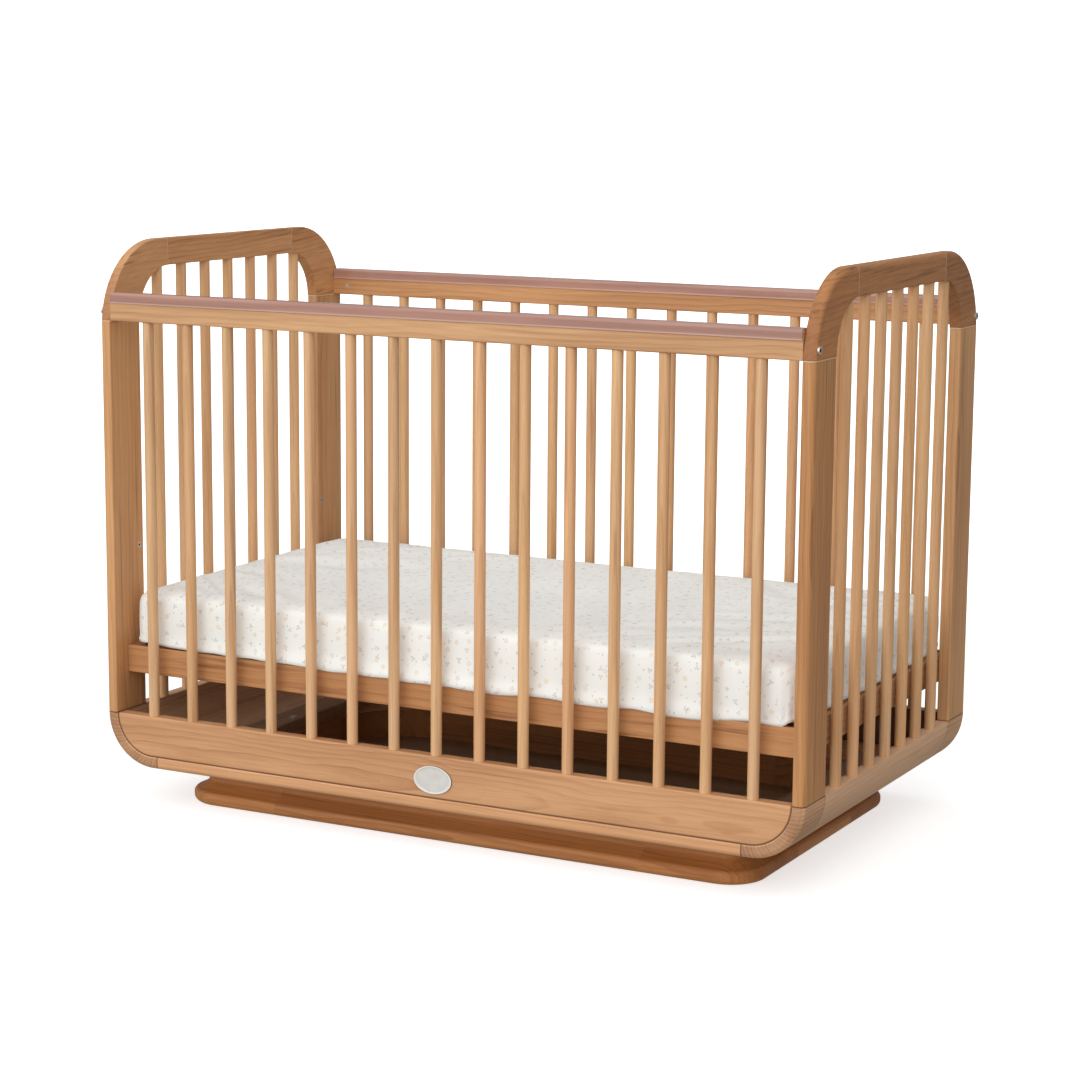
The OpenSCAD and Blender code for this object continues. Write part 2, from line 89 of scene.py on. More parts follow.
class Finish:
    """A material and its node tree, with short calls that add a node and wire its inputs."""

    def __init__(self, name):
        self.material = bpy.data.materials.new(name)
        self.material.use_nodes = True
        self.tree = self.material.node_tree
        self.shader = self.tree.nodes["Principled BSDF"]

    def node(self, kind, sockets=None, **settings):
        """Adds a node; a socket in sockets is linked and a plain value is set."""
        made = self.tree.nodes.new("ShaderNode" + kind)
        for key, value in settings.items():
            setattr(made, key, value)
        for key, value in (sockets or {}).items():
            if isinstance(value, bpy.types.NodeSocket):
                self.tree.links.new(value, made.inputs[key])
            else:
                made.inputs[key].default_value = value
        return made

    def sum(self, operation, first, second=0.0):
        """One Math node."""
        return self.node("Math", {0: first, 1: second}, operation=operation).outputs[0]

    def vector(self, operation, first, second=(0, 0, 0)):
        """One Vector Math node; a length or a dot product comes out of its second socket."""
        made = self.node("VectorMath", {0: first, 1: second}, operation=operation)
        return made.outputs[1 if operation in ("LENGTH", "DOT_PRODUCT") else 0]

    def scaled(self, vector, factor):
        """A vector times a number that may itself be a socket."""
        return self.node("VectorMath", {0: vector, 3: factor}, operation="SCALE").outputs[0]

    def step(self, value, low, high, to_low=0.0, to_high=1.0):
        """A value carried smoothly from low..high to to_low..to_high and held there."""
        made = self.node(
            "MapRange",
            {0: value, 1: low, 2: high, 3: to_low, 4: to_high},
            interpolation_type="SMOOTHSTEP",
        )
        return made.outputs[0]

    def noise(self, vector, scale, detail=2.0, roughness=0.5):
        """Noise from 0 to 1; outputs value and colour."""
        sockets = {"Vector": vector, "Scale": scale, "Detail": detail, "Roughness": roughness}
        return self.node("TexNoise", sockets).outputs

    def stretched(self, vector, scale, turn=(0, 0, 0), shift=(0, 0, 0)):
        """A Mapping node: the vector scaled, turned and shifted."""
        sockets = {"Vector": vector, "Scale": scale, "Rotation": turn, "Location": shift}
        return self.node("Mapping", sockets).outputs[0]

    def length(self, first, second):
        """The length of a flat vector with two numbers for its parts."""
        return self.vector("LENGTH", self.node("CombineXYZ", {0: first, 1: second}).outputs[0])

    def mix(self, factor, first, second, blend="MIX"):
        """Two colours mixed."""
        made = self.node("Mix", {0: factor, 6: first, 7: second}, data_type="RGBA", blend_type=blend)
        return made.outputs[2]

    def ramp(self, value, stops, interpolation="LINEAR"):
        """A colour ramp with stops of (place, colour)."""
        made = self.node("ValToRGB", {0: value})
        band = made.color_ramp
        band.interpolation = interpolation
        while len(band.elements) < len(stops):
            band.elements.new(0.5)
        for element, (place, colour) in zip(band.elements, stops):
            element.position = place
            element.color = colour
        return made.outputs[0]

    def grey_ramp(self, value, stops):
        """A ramp of greys, read back as a number."""
        return self.ramp(value, [(place, (grey, grey, grey, 1.0)) for place, grey in stops])

    def separate(self, vector):
        """X, Y and Z of a vector."""
        return self.node("SeparateXYZ", {0: vector}).outputs

    def finish(self, colour, roughness, height, bump_depth, bump_strength=1.0, **fixed):
        """Wires colour, roughness and bump to the shader and sets its fixed sockets."""
        link = self.tree.links.new
        link(colour, self.shader.inputs["Base Color"])
        link(roughness, self.shader.inputs["Roughness"])
        bump = self.node("Bump", {"Height": height, "Strength": bump_strength, "Distance": bump_depth})
        link(bump.outputs[0], self.shader.inputs["Normal"])
        for key, value in fixed.items():
            self.shader.inputs[key.replace("_", " ")].default_value = value
        return self.material


class Sky(Finish):
    """The world's node tree, with the same short calls."""

    def __init__(self, name):
        world = bpy.data.worlds.new(name)
        world.use_nodes = True
        bpy.context.scene.world = world
        self.tree = world.node_tree
        self.shader = self.tree.nodes["Background"]


# ---- Pine ----

GRAIN_TURN = {"x": (0, 0, 0), "y": (0, 0, -math.pi / 2), "z": (0, math.pi / 2, 0)}
AXIS_INDEX = {"x": 0, "y": 1, "z": 2}
AXIS_VECTOR = {"x": (1, 0, 0), "y": (0, 1, 0), "z": (0, 0, 1)}
RING_PROFILE = [(0.0, 0.0), (0.45, 0.12), (0.78, 0.62), (0.92, 1.0), (1.0, 0.0)]
FINE_RINGS = 3.7
RING_DRIFT = 1.8
FAN_LEAN = 0.35
STICK_SPREAD = (0.03, 0.03, 1.1)
STICK_TONES = [
    (0.0, (1.04, 0.97, 0.93, 1)), (0.4, (0.97, 0.98, 0.98, 1)),
    (0.75, (1.05, 1.05, 0.98, 1)), (1.0, (0.92, 0.86, 0.80, 1)),
]
SEAM_DARK = tone(92, 56, 30)
PAINTED_SEAM_HIGHLIGHT = tone(238, 205, 168)
INNER_SHADE = tone(70, 30, 10)
ARCH_KIND = {"left": "arch", "right": "heart_and_shade"}
PLINTH_END_KIND = {"left": "plinth", "right": "heart_and_shade"}

PINE = {
    "arch": {"light": tone(213, 158, 108), "dark": tone(142, 84, 43), "streak": tone(104, 54, 26)},
    # heart_and_shade and heart_post_and_shade: darker heartwood for the right-hand end, darkened as painted
    # shade for that side.
    "heart_and_shade": {"light": tone(186, 128, 78), "dark": tone(104, 58, 27), "streak": tone(78, 40, 18)},
    "heart_post_and_shade": {"light": tone(206, 148, 94), "dark": tone(124, 72, 35), "streak": tone(100, 54, 24)},
    "post": {"light": tone(214, 163, 113), "dark": tone(150, 95, 54), "streak": tone(116, 68, 34)},
    "rail": {"light": tone(222, 173, 125), "dark": tone(160, 105, 62), "streak": tone(134, 82, 46)},
    "panel": {"light": tone(217, 165, 120), "dark": tone(152, 98, 57), "streak": tone(130, 78, 44)},
    "corner": {"light": tone(230, 180, 136), "dark": tone(112, 64, 32), "streak": tone(116, 66, 34)},
    "spindle": {"light": tone(227, 183, 138), "dark": tone(174, 123, 80), "streak": tone(144, 92, 52)},
    "sap": {"light": tone(234, 190, 150), "dark": tone(176, 124, 84), "streak": tone(168, 118, 80)},
    # plinth: darker than the rails, partly painted shade for its place under the trough's overhang.
    "plinth": {"light": tone(188, 126, 72), "dark": tone(118, 66, 30), "streak": tone(94, 48, 20)},
    "base": {"light": tone(200, 147, 99), "dark": tone(142, 86, 48), "streak": tone(96, 48, 20)},
    "hidden": {"light": tone(176, 142, 110), "dark": tone(136, 106, 78), "streak": tone(100, 74, 52)},
}


def pine(name, along, seed, kind, box, ring=0.010, pith=(0.05, 0.03), wobble=0.010, contrast=0.6,
         streaks=0.35, tilt=(0.0, 0.02), seams=(), eased=(), row=None, fan=None, gap=False, inside=None):
    """Pine cut from a log: growth rings are cylinders round a pith line that runs beside the board.

    A point is first turned so that the grain runs along X, measured from the board's middle. Its distance
    from the pith, bent by slow noise, divided by the ring width gives a count whose fraction runs from pale
    early wood to dark late wood. Fine stretched noise makes the fibres, and long thin noise the dark
    streaks. Faces that cut across the grain are darker. row is (axis, pitch) for a node that holds a row
    of sticks: each stick has its own place in the log. fan is the centre (x, z) of a bent corner, whose
    rings lie in planes through that centre. seams are (axis, place) planes where two pieces of wood meet in
    a dark hairline, and eased are those where a painted highlight stands for sanded edges catching the
    light.
    inside is (axis, place) of a face turned to the dark hollow under the base; painted shade darkens it.
    """
    f = Finish(name)
    draw = np.random.RandomState(seed)
    colours = PINE[kind]
    middle = (Vector(box[0]) + Vector(box[1])) / 2
    coordinates = f.node("TexCoord").outputs
    place = coordinates["Object"]
    sideways = f.separate(place)
    random_value = None
    if row:
        axis, pitch = row
        middle[AXIS_INDEX[axis]] = 0.0
        count = f.sum("ROUND", f.sum("DIVIDE", sideways[AXIS_INDEX[axis]], pitch))
        back = f.scaled(AXIS_VECTOR[axis], f.sum("MULTIPLY", count, -pitch))
        number = f.sum("ADD", count, seed * 1.7)
        chance = f.node("TexWhiteNoise", {"W": number}, noise_dimensions="1D").outputs
        shift = f.vector("SUBTRACT", chance["Color"], (0.5, 0.5, 0.5))
        shift = f.vector("MULTIPLY", shift, STICK_SPREAD)
        place = f.vector("ADD", f.vector("ADD", place, back), shift)
        random_value = chance["Value"]
    turn = Euler((0.0, *tilt)).to_matrix() @ Euler(GRAIN_TURN[along]).to_matrix()
    offset = -(turn @ middle) + Vector((float(draw.uniform(-9, 9)), *pith))
    grain = f.stretched(place, (1, 1, 1), tuple(turn.to_euler()), tuple(offset))
    slow = f.noise(f.stretched(grain, (2.6, 8.0, 8.0)), 1.0, 3.0, 0.5)
    bend = f.sum("MULTIPLY", f.sum("SUBTRACT", slow[0], 0.5), 2 * wobble)
    if fan:
        parts = f.separate(coordinates["Object"])
        run = f.sum("SUBTRACT", f.sum("ABSOLUTE", parts[0]), fan[0])
        fall = f.sum("SUBTRACT", fan[1], parts[2])
        reach = f.sum("MULTIPLY", f.sum("ARCTAN2", fall, run), fan[2])
        depth = f.sum("ADD", reach, f.sum("MULTIPLY", f.length(run, fall), FAN_LEAN))
    else:
        depth = f.vector("LENGTH", f.vector("MULTIPLY", grain, (0, 1, 1)))
    phase = f.sum("DIVIDE", f.sum("ADD", depth, bend), ring)
    year = f.node("CombineXYZ", {0: f.sum("MULTIPLY", phase, 0.31), 1: float(seed)}).outputs[0]
    uneven = f.noise(year, 1.0, 1.0)[0]
    phase = f.sum("ADD", phase, f.sum("MULTIPLY", uneven, RING_DRIFT))
    late = f.grey_ramp(f.sum("FRACT", phase), RING_PROFILE)
    broad = f.noise(f.stretched(grain, (1.6, 16, 16), shift=(3.1, 0, 0)), 1.0, 2.0)[0]
    strength = f.sum("MULTIPLY", f.step(uneven, 0.3, 0.7, 0.35, 1.0), f.step(broad, 0.35, 0.68, 0.35, 1.0))
    fine = f.grey_ramp(f.sum("FRACT", f.sum("MULTIPLY", phase, FINE_RINGS)), RING_PROFILE)
    fibre = f.noise(f.stretched(grain, (9, 420, 420)), 1.0, 3.0, 0.6)[0]
    streak = f.noise(f.stretched(grain, (2.2, 95, 95), shift=(7.7, 0, 0)), 1.0, 2.0, 0.55)[0]
    streak = f.step(streak, 0.55, 0.78)
    ringed = f.sum("MULTIPLY", f.sum("MULTIPLY", late, strength), contrast)
    colour = f.mix(ringed, colours["light"], colours["dark"])
    colour = f.mix(f.sum("MULTIPLY", fine, f.step(broad, 0.4, 0.65, 0.0, 0.26)), colour, colours["dark"])
    between = f.mix(0.5, colours["light"], colours["dark"])
    colour = f.mix(f.step(broad, 0.35, 0.7, 0.0, 0.42), colour, between)
    colour = f.mix(f.sum("MULTIPLY", streak, streaks), colour, colours["streak"])
    colour = f.mix(f.step(fibre, 0.4, 0.75, 0.0, 0.22), colour, colours["dark"])
    warm = float(draw.uniform(-1, 1))
    bright = float(draw.uniform(0.95, 1.05))
    cast = (bright * (1 + 0.03 * warm), bright, bright * (1 - 0.05 * warm), 1.0)
    colour = f.mix(1.0, colour, cast, "MULTIPLY")
    if row:
        colour = f.mix(1.0, colour, f.ramp(random_value, STICK_TONES), "MULTIPLY")
    across = f.sum("ABSOLUTE", f.vector("DOT_PRODUCT", coordinates["Normal"], AXIS_VECTOR[along]))
    colour = f.mix(f.step(across, 0.55, 1.0, 0.0, 0.42), colour, colours["dark"])
    height = f.sum("ADD", f.sum("MULTIPLY", fibre, 0.6), f.sum("MULTIPLY", late, 0.25))
    for axis, value in (*seams, *eased):
        out = f.sum("ABSOLUTE", sideways[AXIS_INDEX[axis]])
        distance = f.sum("ABSOLUTE", f.sum("SUBTRACT", out, value))
        # An eased seam gets a faint dark line and a painted highlight for its sanded edges catching the
        # light; a plain seam gets only the dark hairline.
        if (axis, value) in eased:
            colour = f.mix(f.step(distance, 0.0036, 0.0016, 0.0, 0.22), colour, SEAM_DARK)
            colour = f.mix(f.step(distance, 0.0015, 0.0006, 0.0, 0.6), colour, PAINTED_SEAM_HIGHLIGHT)
        else:
            colour = f.mix(f.step(distance, 0.0018, 0.0004, 0.0, 0.85), colour, SEAM_DARK)
        height = f.sum("SUBTRACT", height, f.step(distance, 0.0022, 0.0, 0.0, 2.5))
    if gap:
        run = f.sum("MAXIMUM", f.sum("SUBTRACT", f.sum("ABSOLUTE", sideways[0]), TROUGH_ARC_X), 0.0)
        fall = f.sum("MAXIMUM", f.sum("SUBTRACT", TROUGH_TOP, sideways[2]), 0.0)
        edge = f.sum("SUBTRACT", TROUGH_INNER_R, f.length(run, fall))
        colour = f.mix(f.step(edge, 0.0045, 0.0012, 0.0, 0.9), colour, SEAM_DARK)
    # Painted shade: the face turned to the hollow under the base is darkened towards INNER_SHADE.
    if inside:
        back = f.sum("ABSOLUTE", sideways[AXIS_INDEX[inside[0]]])
        colour = f.mix(f.step(back, inside[1] + 0.0015, inside[1] + 0.0005, 0.0, 0.85), colour, INNER_SHADE)
    roughness = f.step(fibre, 0.3, 0.8, 0.44, 0.60)
    return f.finish(colour, roughness, height, 0.0005, 0.35, Specular_IOR_Level=0.38)


# ---- Plastic, steel ----


def guard_plastic(name):
    """Glossy mauve-brown moulding: faint flow marks along X, and a painted highlight as a paler line on its
    lower edge.
    """
    f = Finish(name)
    place = f.node("TexCoord").outputs["Object"]
    flow = f.noise(f.stretched(place, (2.5, 60, 60)), 1.0, 3.0)[0]
    speck = f.noise(place, 900.0, 2.0)[0]
    colour = f.mix(f.step(flow, 0.3, 0.7), tone(180, 134, 118), tone(158, 114, 100))
    # Painted highlight: paler colour within a few millimetres of the guard's lower edge.
    low = f.sum("SUBTRACT", f.separate(place)[2], GUARD_LOW_Z)
    colour = f.mix(f.step(low, 0.004, 0.001, 0.0, 0.5), colour, tone(226, 194, 180))
    roughness = f.step(flow, 0.2, 0.8, 0.16, 0.26)
    return f.finish(colour, roughness, speck, 0.0002, 0.25, Coat_Weight=0.35, Coat_Roughness=0.08)


def turned_steel(name):
    """Zinc-plated steel: fine turning marks, small dull patches, and painted shade over the hexagon socket.
    """
    f = Finish(name)
    place = f.node("TexCoord").outputs["Object"]
    marks = f.noise(f.stretched(place, (300, 2500, 2500)), 1.0, 2.0)[0]
    patch = f.noise(place, 260.0, 2.0)[0]
    colour = f.mix(f.step(patch, 0.35, 0.7), tone(236, 234, 228), tone(204, 200, 192))
    # Painted shade: a dark round patch over the rail bolts' hexagon sockets.
    parts = f.separate(place)
    wide = f.sum("SUBTRACT", f.sum("ABSOLUTE", parts[1]), RAIL_BOLT_Y)
    tall = f.sum("SUBTRACT", parts[2], RAIL_BOLT_Z)
    colour = f.mix(f.sum("LESS_THAN", f.length(wide, tall), BOLT_HEX_R), colour, tone(40, 32, 26))
    roughness = f.step(patch, 0.3, 0.7, 0.24, 0.40)
    return f.finish(colour, roughness, marks, 0.0001, 0.4, Metallic=0.8)


def badge_lacquer(name):
    """Pale satin plate: a painted highlight on the raised rim, painted shade in a thin dark outline at its
    edge, fine orange-peel bump.
    """
    f = Finish(name)
    place = f.node("TexCoord").outputs["Object"]
    parts = f.separate(place)
    wide = f.sum("DIVIDE", parts[0], BADGE_HALF[0])
    tall = f.sum("DIVIDE", f.sum("SUBTRACT", parts[2], BADGE_Z), BADGE_HALF[1])
    out = f.length(wide, tall)
    cloud = f.noise(place, 60.0, 2.0)[0]
    peel = f.noise(place, 1400.0, 1.0)[0]
    colour = f.mix(f.step(cloud, 0.3, 0.7), tone(215, 213, 208), tone(206, 203, 197))
    # Painted highlight on the raised rim.
    colour = f.mix(f.step(out, 0.86, 0.9, 0.0, 0.7), colour, tone(230, 228, 220))
    # Painted shade: a thin dark outline where the plate's edge meets the board.
    colour = f.mix(f.step(out, 0.975, 0.992), colour, tone(104, 84, 64))
    roughness = f.step(cloud, 0.3, 0.7, 0.3, 0.38)
    return f.finish(colour, roughness, peel, 0.0001, 0.3)


# ---- Fabric ----

FLOWER_INKS = [
    (0.0, tone(226, 190, 122)), (0.34, tone(232, 200, 192)), (0.58, tone(204, 214, 196)),
    (0.76, tone(214, 186, 146)), (0.90, tone(196, 196, 192)),
]
SPRIG_INKS = [(0.0, tone(138, 144, 152)), (0.5, tone(156, 164, 174)), (0.8, tone(176, 170, 150))]
DOT_INKS = [
    (0.0, tone(160, 166, 174)), (0.3, tone(226, 194, 136)),
    (0.55, tone(226, 190, 176)), (0.8, tone(190, 192, 184)),
]
FLOWERS = {"pitch": 0.032, "size": 0.0047, "lobes": 5.0, "depth": 0.16, "seed": 3.0, "fade": 0.62}
SPRIGS = {"pitch": 0.036, "size": 0.0045, "lobes": 3.0, "depth": 0.30, "seed": 17.0, "fade": 0.58}
DOTS = {"pitch": 0.019, "size": 0.0015, "lobes": 0.0, "depth": 0.0, "seed": 11.0, "fade": 0.55}
PRINT_LAYERS = ((FLOWERS, FLOWER_INKS), (SPRIGS, SPRIG_INKS), (DOTS, DOT_INKS))


def printed_cotton(name):
    """White cotton with a scattered print of small flowers, three-leaved sprigs and dots.

    The print sits on the flat cut, in metres. For each layer a cell pattern gives every motif a centre; the
    angle and the distance from it draw lobes, size * (1 - depth + depth * cos(lobes * angle)), which leave a
    plain round dot where there are no lobes. A plain weave of crossed waves and soft lint make the bump.
    """
    f = Finish(name)
    flat = f.node("UVMap", uv_map="cut").outputs[0]
    lint = f.noise(flat, 90.0, 3.0)[0]
    shade = f.noise(flat, 6.0, 2.0)[0]
    colour = f.mix(f.step(shade, 0.3, 0.7), tone(246, 249, 247), tone(241, 244, 241))
    paint = f.noise(flat, 700.0, 2.0)[0]
    for layer, inks in PRINT_LAYERS:
        spot = f.vector("ADD", flat, (layer["seed"], layer["seed"] * 0.37, 0))
        cell = f.node(
            "TexVoronoi", {"Vector": spot, "Scale": 1 / layer["pitch"], "Randomness": 0.75},
            voronoi_dimensions="2D",
        ).outputs
        away = f.vector("SUBTRACT", spot, cell["Position"])
        parts = f.separate(away)
        chance = f.separate(cell["Color"])
        turned = f.sum("MULTIPLY", chance[1], 2 * math.pi)
        angle = f.sum("ADD", f.sum("ARCTAN2", parts[1], parts[0]), turned)
        swing = f.sum("COSINE", f.sum("MULTIPLY", angle, layer["lobes"]))
        swing = f.sum("MULTIPLY", swing, layer["depth"])
        limit = f.sum("MULTIPLY", f.sum("ADD", swing, 1.0 - layer["depth"]), layer["size"])
        reach = f.vector("LENGTH", away)
        ink = f.step(f.sum("SUBTRACT", reach, limit), 0.0009, -0.0005)
        if layer["lobes"]:
            petal = f.sum("COSINE", f.sum("MULTIPLY", angle, 2 * layer["lobes"]))
            ink = f.sum("MULTIPLY", ink, f.step(petal, -0.9, 0.2, 0.45, 1.0))
            ink = f.sum("MULTIPLY", ink, f.step(reach, 0.0004, 0.0016, 0.5, 1.0))
        kept = f.sum("GREATER_THAN", chance[2], 0.22)
        patchy = f.step(paint, 0.35, 0.6, 0.45, 1.0)
        ink = f.sum("MULTIPLY", f.sum("MULTIPLY", ink, kept), f.sum("MULTIPLY", patchy, layer["fade"]))
        colour = f.mix(ink, colour, f.ramp(chance[0], inks, "CONSTANT"))
    across = f.separate(flat)
    threads = 2 * math.pi / THREAD_PITCH
    weft = f.sum("SINE", f.sum("MULTIPLY", across[0], threads))
    warp = f.sum("SINE", f.sum("MULTIPLY", across[1], threads))
    weave = f.sum("MULTIPLY", weft, warp)
    height = f.sum("ADD", f.sum("MULTIPLY", weave, 0.12), lint)
    roughness = f.step(lint, 0.3, 0.7, 0.82, 0.94)
    return f.finish(colour, roughness, height, 0.0005, 0.35, Sheen_Weight=0.12, Sheen_Roughness=0.5,
                    Specular_IOR_Level=0.25)


def ticking(name):
    """Plain off-white mattress cover with a fine knit, softly quilted in diamonds."""
    f = Finish(name)
    place = f.node("TexCoord").outputs["Object"]
    parts = f.separate(place)
    pitch = math.pi / QUILT_PITCH
    one = f.sum("SINE", f.sum("MULTIPLY", f.sum("ADD", parts[0], parts[1]), pitch))
    two = f.sum("SINE", f.sum("MULTIPLY", f.sum("SUBTRACT", parts[0], parts[1]), pitch))
    quilt = f.sum("POWER", f.sum("ABSOLUTE", f.sum("MULTIPLY", one, two)), 0.35)
    knit = f.noise(f.stretched(place, (700, 1400, 700)), 1.0, 2.0)[0]
    cloud = f.noise(place, 8.0, 2.0)[0]
    colour = f.mix(f.step(cloud, 0.3, 0.7), tone(238, 236, 230), tone(228, 225, 217))
    # Painted shade: darker along the quilting lines, where the cover dips.
    colour = f.mix(f.step(quilt, 0.35, 0.0, 0.0, 0.35), colour, tone(205, 200, 190))
    height = f.sum("ADD", quilt, f.sum("MULTIPLY", knit, 0.15))
    roughness = f.step(knit, 0.3, 0.7, 0.85, 0.95)
    return f.finish(colour, roughness, height, 0.0015, 0.5, Sheen_Weight=0.1)


# ---- Mesh helpers ----


def grid_faces(rows, columns, wrap=False):
    """Quads of a grid of rows by columns points; wrap joins the last column to the first."""
    across = columns if wrap else columns - 1
    row, column = np.meshgrid(np.arange(rows - 1), np.arange(across), indexing="ij")
    here = row * columns + column
    right = row * columns + (column + 1) % columns
    return np.stack([here, right, right + columns, here + columns], -1).reshape(-1, 4)


def new_piece(name, points, faces, material, smooth=True):
    """A mesh object at the origin from arrays of points and faces."""
    mesh = bpy.data.meshes.new(name)
    mesh.from_pydata(np.asarray(points, float).tolist(), [], [list(map(int, face)) for face in faces])
    mesh.polygons.foreach_set("use_smooth", np.full(len(mesh.polygons), smooth))
    mesh.materials.append(material)
    mesh.update()
    piece = bpy.data.objects.new(name, mesh)
    bpy.context.collection.objects.link(piece)
    return piece


def mesh_points(mesh):
    """The mesh's points as an array."""
    flat = np.empty(len(mesh.vertices) * 3)
    mesh.vertices.foreach_get("co", flat)
    return flat.reshape(-1, 3)


def badge_plate():
    """The oval badge: a profile of (share of the half axes, distance forward) turned round an ellipse."""
    depth = BADGE_BACK_Y - BADGE_FRONT_Y
    share = np.array([0.0, 0.45, 0.80, 0.88, 0.90, 0.93, 0.96, 0.985, 1.0, 1.0, 0.97, 0.0])
    rise = np.array([0.80, 0.78, 0.72, 0.70, 0.92, 1.0, 0.97, 0.80, 0.50, 0.04, 0.0, 0.0])
    angle = np.linspace(0, 2 * math.pi, BADGE_TURNS, endpoint=False)
    inner_share = share[1:-1]
    inner_rise = rise[1:-1]
    x = np.outer(inner_share, np.cos(angle)) * BADGE_HALF[0]
    z = BADGE_Z + np.outer(inner_share, np.sin(angle)) * BADGE_HALF[1]
    y = np.repeat(BADGE_BACK_Y - depth * inner_rise, BADGE_TURNS).reshape(x.shape)
    points = np.stack([x, y, z], -1).reshape(-1, 3)
    front = len(points)
    poles = [(0, BADGE_BACK_Y - depth * rise[0], BADGE_Z), (0, BADGE_BACK_Y, BADGE_Z)]
    points = np.vstack([points, poles])
    faces = [face[::-1] for face in grid_faces(len(inner_share), BADGE_TURNS, wrap=True)]
    last = (len(inner_share) - 1) * BADGE_TURNS
    for i in range(BADGE_TURNS):
        j = (i + 1) % BADGE_TURNS
        faces.append((front, i, j))
        faces.append((front + 1, last + j, last + i))
    piece = new_piece("badge_plate", points, faces, badge_lacquer("badge_lacquer"))
    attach(piece, "frame")
    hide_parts("oval_badge")
    return piece


# ---- Mattress and fitted sheet ----

PAD_LOW, PAD_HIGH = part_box("mattress_core")
SHEET_HALF_X = 0.6575
SHEET_HALF_Y = 0.3572
SHEET_CORNER = 0.032
SHEET_TOP_Z = 0.3925
SHEET_LOW_Z = 0.2915
EDGE_ROUND = 0.025
FOOT_ROUND = 0.0040
HEM_SAG = 0.0075
CORNER_LIFT = 0.006
CELL = 0.0075
PUCKER_DEPTH = 0.0006
RIPPLE_DEPTH = 0.0005
FOLD_DEPTH = 0.0009
RUMPLE_DEPTH = 0.0005
HEM_WAVE = 0.0010
CROWN_RISE = 0.0022
SIDE_BULGE = 0.0015
HEM_WALL = 0.0009
PAD_INSET = 0.005
PAD_CORNER = 0.060
PAD_CLEAR = 0.002
PAD_CELL = 0.010


def skirt_profile():
    """Distance out and down from the flat top along the edge round, the side and the tucked foot.

    A quarter circle, a straight run, and a circle that turns 120 degrees under, joined end to end;
    returned with the length along it.
    """
    quarter = np.linspace(0, math.pi / 2, 24)
    out = EDGE_ROUND * np.sin(quarter)
    down = EDGE_ROUND * (1 - np.cos(quarter))
    side = SHEET_TOP_Z - SHEET_LOW_Z - EDGE_ROUND - FOOT_ROUND
    run = np.linspace(0, side, 16)[1:]
    out = np.concatenate([out, np.full(len(run), EDGE_ROUND)])
    down = np.concatenate([down, EDGE_ROUND + run])
    foot = np.linspace(0, math.radians(118), 20)[1:]
    out = np.concatenate([out, EDGE_ROUND - FOOT_ROUND * (1 - np.cos(foot))])
    down = np.concatenate([down, EDGE_ROUND + side + FOOT_ROUND * np.sin(foot)])
    length = np.concatenate([[0], np.cumsum(np.hypot(np.diff(out), np.diff(down)))])
    return length, out, down


def waves(place, seed, count, low, high):
    """A sum of count sines of place with wavelengths from low to high and seeded phases, about -1 to 1."""
    draw = np.random.RandomState(seed)
    total = np.zeros_like(place)
    for _ in range(count):
        wavelength = math.exp(draw.uniform(math.log(low), math.log(high)))
        total += np.sin(2 * math.pi * place / wavelength + draw.uniform(0, 2 * math.pi))
    return total / math.sqrt(count)


